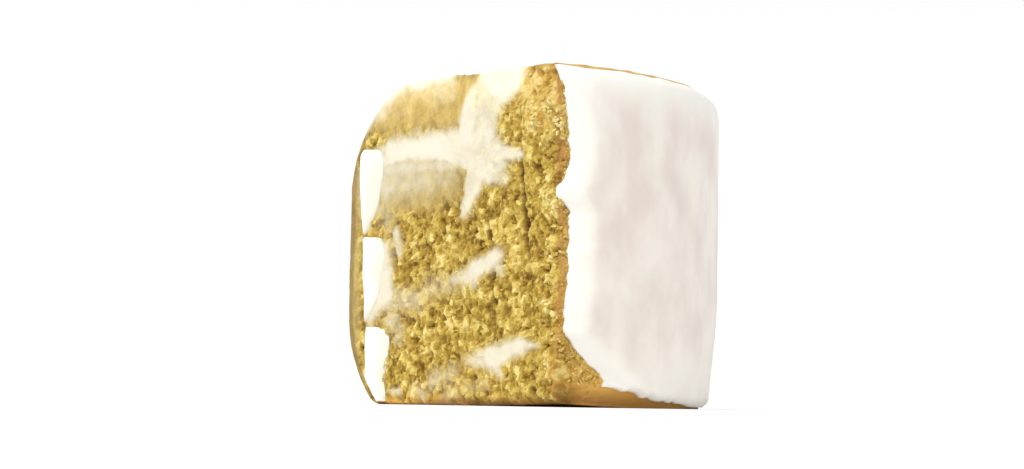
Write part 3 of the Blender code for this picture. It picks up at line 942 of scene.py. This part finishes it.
class Finish:
    """A node material with short calls for its nodes. Its patterns lie in an attribute or in object space."""

    def __init__(self, name, place=None):
        self.material = bpy.data.materials.new(name)
        self.material.use_nodes = True
        self.tree = self.material.node_tree
        self.surface = self.tree.nodes["Principled BSDF"]
        if place:
            self.place = self.node("Attribute", attribute_name=place).outputs["Vector"]
        else:
            self.place = self.node("TexCoord").outputs["Object"]

    def fill(self, node, values):
        """Set a node's sockets to plain values, or link the outputs of others to them."""
        for key, value in values.items():
            if isinstance(value, bpy.types.NodeSocket):
                self.tree.links.new(value, node.inputs[key])
            else:
                node.inputs[key].default_value = value

    def node(self, kind, values=None, **settings):
        made = self.tree.nodes.new("ShaderNode" + kind)
        for key, value in settings.items():
            setattr(made, key, value)
        self.fill(made, values or {})
        return made

    def attribute(self, name):
        return self.node("Attribute", attribute_name=name).outputs["Fac"]

    def noise(self, size, detail=3.0, roughness=0.5, stretch=(1.0, 1.0, 1.0)):
        place = self.node("Mapping", {"Vector": self.place, "Scale": stretch}).outputs["Vector"]
        values = {"Vector": place, "Scale": 1.0 / size, "Detail": detail, "Roughness": roughness}
        return self.node("TexNoise", values).outputs["Fac"]

    def upwards(self, low, high):
        """From 0 at one height to 1 at another."""
        height = self.node("SeparateXYZ", {"Vector": self.place}).outputs["Z"]
        return self.node("MapRange", {"From Min": low, "From Max": high, "Value": height}).outputs["Result"]

    def cells(self, size, sway):
        """A number from 0 to 1 for each of many small cells with crooked borders."""
        bend = self.node("TexNoise", {"Vector": self.place, "Scale": 1.0 / (1.5 * size)}).outputs["Color"]
        scaled = self.node("VectorMath", {0: bend, "Scale": 2.0 * sway}, operation="SCALE").outputs[0]
        moved = self.node("VectorMath", {0: self.place, 1: scaled}, operation="ADD").outputs[0]
        cells = self.node("TexVoronoi", {"Vector": moved, "Scale": 1.0 / size}, distance="CHEBYCHEV")
        return self.node("SeparateColor", {0: cells.outputs["Color"]}).outputs[0]

    def ramp(self, factor, *stops):
        """A colour ramp; each stop is a position and a colour."""
        made = self.node("ValToRGB", {"Fac": factor})
        elements = made.color_ramp.elements
        while len(elements) < len(stops):
            elements.new(0.5)
        for element, (position, colour) in zip(elements, stops):
            element.position = position
            element.color = colour
        return made.outputs["Color"]

    def maths(self, operation, first, second, clamp=False):
        return self.node("Math", {0: first, 1: second}, operation=operation, use_clamp=clamp).outputs[0]

    def times(self, first, second):
        return self.maths("MULTIPLY", first, second)

    def blend(self, factor, first, second, mode="MIX"):
        values = {"Factor": factor, 6: first, 7: second}
        return self.node("Mix", values, data_type="RGBA", blend_type=mode).outputs[2]

    def cover(self, colour, roughness, gloss, scatter, radii, normal):
        """Set the surface: its gloss, how it scatters light, and its bumps."""
        self.fill(self.surface, {
            "Base Color": colour,
            "Roughness": roughness,
            "Specular IOR Level": gloss,
            "Subsurface Weight": scatter,
            "Subsurface Radius": radii,
            "Subsurface Scale": 1.0 * MM,
            "Normal": normal,
        })

    def bump(self, height, distance, strength=1.0):
        values = {"Height": height, "Distance": distance, "Strength": strength}
        return self.node("Bump", values).outputs["Normal"]


def crumb_finish():
    finish = Finish("sponge_crumb", "place")
    fine = finish.noise(0.5 * MM, 4.0, 0.6)
    broad = finish.noise(9 * MM, 2.0)
    blocks = finish.maths("POWER", finish.cells(0.9 * MM, 0.35 * MM), 1.5)
    flecks = finish.cells(0.42 * MM, 0.2 * MM)

    # Crumb, pressed crumb, the lines in it and the painted shade at the foot and by the hole
    # Painted shade: crumb lower in the relief is darker, raised crumb lighter
    level = finish.times(finish.attribute("lift"), 0.36)
    for part, share in ((finish.attribute("tone"), 0.26), (fine, 0.12), (blocks, 0.4), (flecks, 0.18)):
        level = finish.maths("ADD", level, finish.times(part, share))
    crumb = finish.ramp(level, *CRUMB_COLOURS)
    crumb = finish.blend(finish.times(broad, 0.3), crumb, CRUMB_TINT, "MULTIPLY")
    blotch = finish.noise(1.8 * MM, 4.0, 0.6, (0.9, 1.0, 0.5))
    pressed = finish.ramp(blotch, *PRESSED_COLOURS)
    pressed_painted_light = finish.ramp(blotch, *PRESSED_PAINTED_LIGHT_COLOURS)
    # Painted light: the pressed crumb is brighter towards the top
    pressed = finish.blend(finish.upwards(35 * MM, 40 * MM), pressed, pressed_painted_light)
    crumb = finish.blend(finish.times(finish.attribute("pressed"), 0.85), crumb, pressed)
    crumb = finish.blend(finish.times(finish.attribute("line"), 0.78), crumb, CRUMB_LINE_AND_SHADE)

    # Browned skin, more golden towards the foot
    skin = finish.ramp(finish.noise(8 * MM, 4.0, 0.45), *SKIN_COLOURS)
    specks = finish.ramp(finish.noise(0.7 * MM, 3.0, 0.6), *SKIN_SPECKS)
    skin = finish.blend(specks, skin, SKIN_SPECK)
    skin = finish.blend(finish.times(finish.upwards(15 * MM, 5 * MM), 0.6), skin, LOW_SKIN)
    # The skin's dark border and the painted shade at its foot
    skin = finish.blend(finish.times(finish.attribute("line"), 0.75), skin, SKIN_LINE_AND_SHADE)
    colour = finish.blend(finish.attribute("skin"), crumb, skin)
    colour = finish.blend(finish.times(finish.attribute("under"), 0.8), colour, UNDERSIDE)

    # Glaze, with painted light making it warmer and brighter on the shoulder and the top
    amount = finish.attribute("glaze")
    grained = finish.times(finish.maths("SUBTRACT", fine, 0.5), 0.2)
    veil = finish.maths("ADD", amount, grained, clamp=True)
    veil = finish.times(finish.maths("POWER", veil, 1.25), 0.95)
    glaze = finish.ramp(amount, *GLAZE_COLOURS)
    glaze_painted_light = finish.ramp(amount, *GLAZE_PAINTED_LIGHT_COLOURS)
    glaze = finish.blend(finish.upwards(39 * MM, 42 * MM), glaze, glaze_painted_light)
    colour = finish.blend(veil, colour, glaze)

    # Fine grain, which the glaze covers and the skin calms
    grain = finish.maths("ADD", finish.noise(0.25 * MM, 4.0, 0.7), finish.times(flecks, 0.5))
    grain = finish.maths("ADD", grain, finish.times(blocks, 0.8))
    rough = finish.times(grain, finish.maths("SUBTRACT", 1.0, finish.times(veil, 0.92)))
    calm = finish.maths("SUBTRACT", 1.0, finish.times(finish.attribute("skin"), 0.6))
    normal = finish.bump(finish.times(rough, calm), 0.18 * MM)
    finish.cover(colour, finish.ramp(veil, *SPONGE_ROUGHNESS), 0.25, 0.3, (1.2, 0.9, 0.4), normal)
    return finish.material


def icing_finish(name, pale, dim):
    finish = Finish(name)
    mottle = finish.noise(6.5 * MM, 3.0, 0.5, (1.0, 1.0, 0.75))
    colour = finish.ramp(mottle, (0.36, dim), (0.64, pale))
    # The pale attribute paints highlights on the icing's borders, foot and top
    colour = finish.blend(finish.attribute("pale"), colour, ICING_PAINTED_HIGHLIGHT)
    colour = finish.blend(finish.times(finish.attribute("cream"), 0.8), colour, CREAM_ICING)
    sheen = finish.ramp(finish.noise(5 * MM, 2.0), *ICING_ROUGHNESS)
    ripples = finish.noise(0.8 * MM, 3.0, 0.5, (1.0, 1.0, 0.12))
    finish.cover(colour, sheen, 0.35, 0.35, (1.2, 1.0, 0.8), finish.bump(ripples, 0.04 * MM, 0.5))
    return finish.material


# ---- Stage ----

FLOOR_SIZE = 3.0
HORIZON = (0.12, 1.05)  # place on the sky's ramp, and brightness
CEILING = (0.4, 0.62)
SUN_TOWARDS = (0.38, 0.58, -0.72)
SUN_STRENGTH = 2.2
SUN_SOFTNESS = 30.0
VIEW_FOCAL_PIXELS = 2500.0
VIEW_WIDTH_PIXELS = 1024.0
SENSOR = 36.0
VIEW_PLACE = (-4.0 * MM, -351.6 * MM, 0.3 * MM)
VIEW_ORBIT = math.radians(-1.0)
VIEW_PITCH = math.radians(3.88)
VIEW_ROLL = math.radians(0.95)


def set_stage():
    """A pale floor under a plain studio sky."""
    half = FLOOR_SIZE / 2
    points = np.array([(-half, -half, 0), (half, -half, 0), (half, half, 0), (-half, half, 0)])
    finish = Finish("floor")
    finish.fill(finish.surface, {"Base Color": grey(0.9), "Roughness": 1.0, "Specular IOR Level": 0.0})
    floor = mesh_object("floor", points, [(0, 1, 2, 3)], finish.material)

    world = bpy.data.worlds.new("studio")
    world.use_nodes = True
    tree = world.node_tree
    place = tree.nodes.new("ShaderNodeTexCoord")
    parts = tree.nodes.new("ShaderNodeSeparateXYZ")
    sky = tree.nodes.new("ShaderNodeValToRGB")
    for element, (position, level) in zip(sky.color_ramp.elements, (HORIZON, CEILING)):
        element.position = position
        element.color = grey(level)
    tree.links.new(place.outputs["Generated"], parts.inputs["Vector"])
    tree.links.new(parts.outputs["Z"], sky.inputs["Fac"])
    tree.links.new(sky.outputs["Color"], tree.nodes["Background"].inputs["Color"])
    bpy.context.scene.world = world
    bpy.context.scene.view_settings.view_transform = "Standard"


def add_sun():
    """One very soft sun from above the viewer."""
    lamp = bpy.data.lights.new("overhead", "SUN")
    lamp.energy = SUN_STRENGTH
    lamp.angle = math.radians(SUN_SOFTNESS)
    light = bpy.data.objects.new("overhead", lamp)
    bpy.context.scene.collection.objects.link(light)
    light.rotation_euler = Vector(SUN_TOWARDS).to_track_quat("-Z", "Y").to_euler()


def add_camera():
    """Level with the floor, pitched a little upwards and rolled a little."""
    data = bpy.data.cameras.new("camera")
    data.sensor_width = SENSOR
    data.lens = SENSOR * VIEW_FOCAL_PIXELS / VIEW_WIDTH_PIXELS
    data.clip_start = 0.01
    camera = bpy.data.objects.new("camera", data)
    bpy.context.scene.collection.objects.link(camera)
    orbit = Matrix.Rotation(VIEW_ORBIT, 4, "Z")
    turn = orbit @ Matrix.Rotation(math.pi / 2 + VIEW_PITCH, 4, "X") @ Matrix.Rotation(VIEW_ROLL, 4, "Z")
    camera.location = orbit @ Vector(VIEW_PLACE)
    camera.rotation_euler = turn.to_euler()
    bpy.context.scene.camera = camera


# ---- The piece ----

crumb_material = crumb_finish()
icing_material = icing_finish("white_icing", linear(246, 238, 228), linear(233, 220, 210))
drip_material = icing_finish("white_drips", linear(248, 246, 239), linear(240, 237, 228))

sponge = sponge_piece(crumb_material)
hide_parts("sponge")
crumbs = [
    cut_crumbs("first_cut_crumbs", 0.0, 401, crumb_material),
    cut_crumbs("second_cut_crumbs", ARC, 402, crumb_material),
    border_crumbs(crumb_material),
]
drips = drip_piece(drip_material)
for piece in (sponge, *crumbs, drips):
    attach(piece, "root")
icing = icing_piece(icing_material)
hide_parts("icing")
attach(icing, "root")

add_camera()
set_stage()
add_sun()
